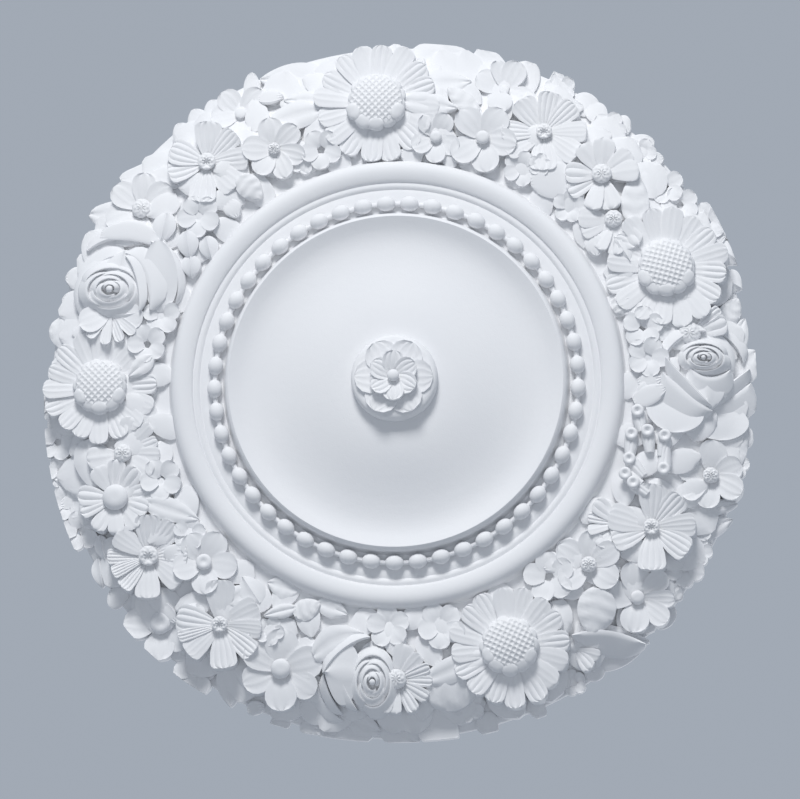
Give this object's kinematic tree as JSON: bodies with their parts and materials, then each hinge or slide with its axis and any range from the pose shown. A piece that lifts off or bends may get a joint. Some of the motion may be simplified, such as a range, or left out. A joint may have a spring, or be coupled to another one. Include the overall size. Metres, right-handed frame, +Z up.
{
  "type": "ceiling rose",
  "caption": "Round cast plaster ceiling rose with a domed field, rosette boss, bead ring, bold roll and a broad wreath of flowers.",
  "frame": {"origin": "centre of the flat back, in the plane that meets the ceiling", "axes": "+Z up into the ceiling, carved face down toward -Z; seen from below in the picture's view, +X runs to the right and +Y toward the lower edge"},
  "size_m": [0.715, 0.7104, 0.103],
  "materials": {
    "plaster": "matte white casting plaster, unpainted"
  },
  "bodies": {
    "root": {"ceiling_rose": "plaster"}
  },
  "joints": []
}
